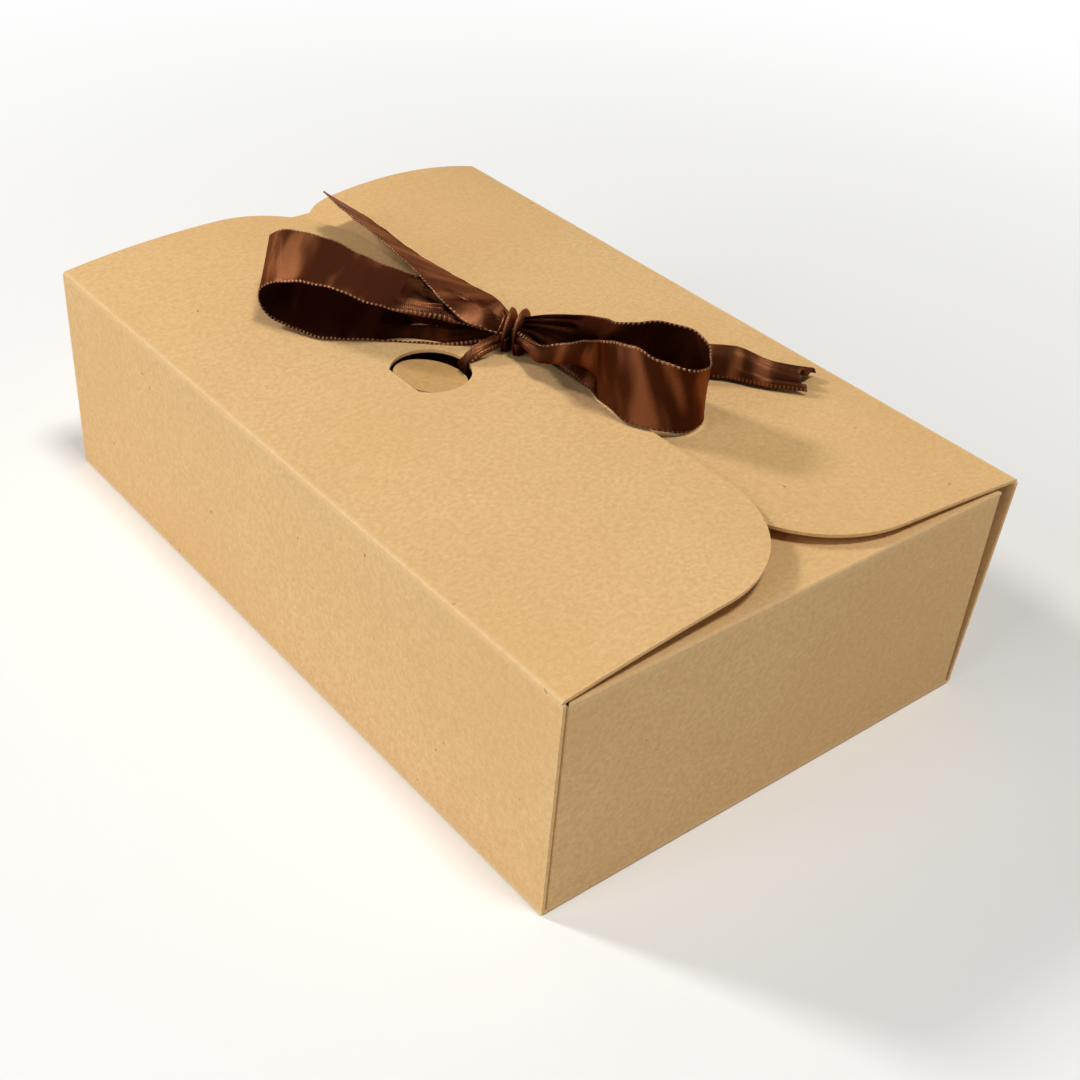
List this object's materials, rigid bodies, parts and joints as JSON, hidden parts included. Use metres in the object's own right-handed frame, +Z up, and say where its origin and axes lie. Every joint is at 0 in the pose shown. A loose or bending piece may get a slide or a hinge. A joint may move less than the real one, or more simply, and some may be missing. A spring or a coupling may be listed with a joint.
{
  "type": "folding gift box",
  "caption": "Kraft card gift box folded from one sheet, with two overlapping lid flaps tied shut by a satin ribbon bow.",
  "frame": {"origin": "bottom centre of the closed box", "axes": "+Z up, +Y along the box's length towards its rear end, +X across its width towards the right wall"},
  "size_m": [0.0984, 0.15, 0.0592],
  "materials": {
    "card": "matt kraft card with fine fibre speckle",
    "ribbon": "woven satin with picot edges"
  },
  "bodies": {
    "base": {"base_panel": "card"},
    "left_wall": {"left_wall": "card"},
    "right_wall": {"right_wall": "card"},
    "front_end_wall": {"front_end_wall": "card"},
    "rear_end_wall": {"rear_end_wall": "card"},
    "left_lid": {"left_lid": "card", "bow_knot": "ribbon", "left_loop": "ribbon", "right_loop": "ribbon", "long_tail": "ribbon", "short_tail": "ribbon", "left_lead": "ribbon"},
    "right_lid": {"right_lid": "card", "right_lead": "ribbon"},
    "front_dust_flap": {"front_dust_flap": "card"},
    "rear_dust_flap": {"rear_dust_flap": "card"},
    "left_hole_disc": {"left_hole_disc": "card"},
    "right_hole_disc": {"right_hole_disc": "card"},
    "front_left_tab": {"front_left_tab": "card"},
    "front_right_tab": {"front_right_tab": "card"},
    "rear_left_tab": {"rear_left_tab": "card"},
    "rear_right_tab": {"rear_right_tab": "card"}
  },
  "joints": [
    {"name": "left_lid_fold", "type": "hinge", "parent": "left_wall", "child": "left_lid", "pos_m": [-0.0492, 0, 0.0424], "axis": [0, -1, 0], "range_deg": [0, 90]},
    {"name": "right_lid_fold", "type": "hinge", "parent": "right_wall", "child": "right_lid", "pos_m": [0.0492, 0, 0.0424], "axis": [0, 1, 0], "range_deg": [0, 90]},
    {"name": "front_flap_fold", "type": "hinge", "parent": "front_end_wall", "child": "front_dust_flap", "pos_m": [0, -0.075, 0.0415], "axis": [1, 0, 0], "range_deg": [0, 90]},
    {"name": "rear_flap_fold", "type": "hinge", "parent": "rear_end_wall", "child": "rear_dust_flap", "pos_m": [0, 0.075, 0.0415], "axis": [-1, 0, 0], "range_deg": [0, 90]},
    {"name": "left_wall_fold", "type": "hinge", "parent": "base", "child": "left_wall", "pos_m": [-0.0492, 0, 0.0006], "axis": [0, -1, 0], "range_deg": [0, 90]},
    {"name": "right_wall_fold", "type": "hinge", "parent": "base", "child": "right_wall", "pos_m": [0.0462, 0, 0.0006], "axis": [0, 1, 0], "range_deg": [0, 85.89]},
    {"name": "front_wall_fold", "type": "hinge", "parent": "base", "child": "front_end_wall", "pos_m": [0, -0.075, 0.0006], "axis": [1, 0, 0], "range_deg": [0, 90]},
    {"name": "rear_wall_fold", "type": "hinge", "parent": "base", "child": "rear_end_wall", "pos_m": [0, 0.075, 0.0006], "axis": [-1, 0, 0], "range_deg": [0, 90]},
    {"name": "front_left_tab_fold", "type": "hinge", "parent": "front_end_wall", "child": "front_left_tab", "pos_m": [-0.0482, -0.0744, 0.02075], "axis": [0, 0, 1], "range_deg": [0, 90]},
    {"name": "front_right_tab_fold", "type": "hinge", "parent": "front_end_wall", "child": "front_right_tab", "pos_m": [0.0452, -0.0744, 0.02075], "axis": [0, 0, -1], "range_deg": [0, 90]},
    {"name": "rear_left_tab_fold", "type": "hinge", "parent": "rear_end_wall", "child": "rear_left_tab", "pos_m": [-0.0482, 0.0744, 0.02075], "axis": [0, 0, -1], "range_deg": [0, 90]},
    {"name": "rear_right_tab_fold", "type": "hinge", "parent": "rear_end_wall", "child": "rear_right_tab", "pos_m": [0.0452, 0.0744, 0.02075], "axis": [0, 0, 1], "range_deg": [0, 90]},
    {"name": "left_disc_fold", "type": "hinge", "parent": "left_lid", "child": "left_hole_disc", "pos_m": [-0.0203, 0.0032, 0.04468], "axis": [0, 1, 0], "range_deg": [0, 60]},
    {"name": "right_disc_fold", "type": "hinge", "parent": "right_lid", "child": "right_hole_disc", "pos_m": [0.0203, 0, 0.04357], "axis": [0, -1, 0], "range_deg": [0, 60]}
  ],
  "couplings": [
    {"joint": "right_lid_fold", "follows": "left_lid_fold", "ratio": 1},
    {"joint": "front_flap_fold", "follows": "left_lid_fold", "ratio": 1},
    {"joint": "rear_flap_fold", "follows": "left_lid_fold", "ratio": 1},
    {"joint": "right_wall_fold", "follows": "left_wall_fold", "ratio": 0.9543},
    {"joint": "front_wall_fold", "follows": "left_wall_fold", "ratio": 1},
    {"joint": "rear_wall_fold", "follows": "left_wall_fold", "ratio": 1},
    {"joint": "front_left_tab_fold", "follows": "left_wall_fold", "ratio": 1},
    {"joint": "front_right_tab_fold", "follows": "left_wall_fold", "ratio": 1},
    {"joint": "rear_left_tab_fold", "follows": "left_wall_fold", "ratio": 1},
    {"joint": "rear_right_tab_fold", "follows": "left_wall_fold", "ratio": 1}
  ]
}
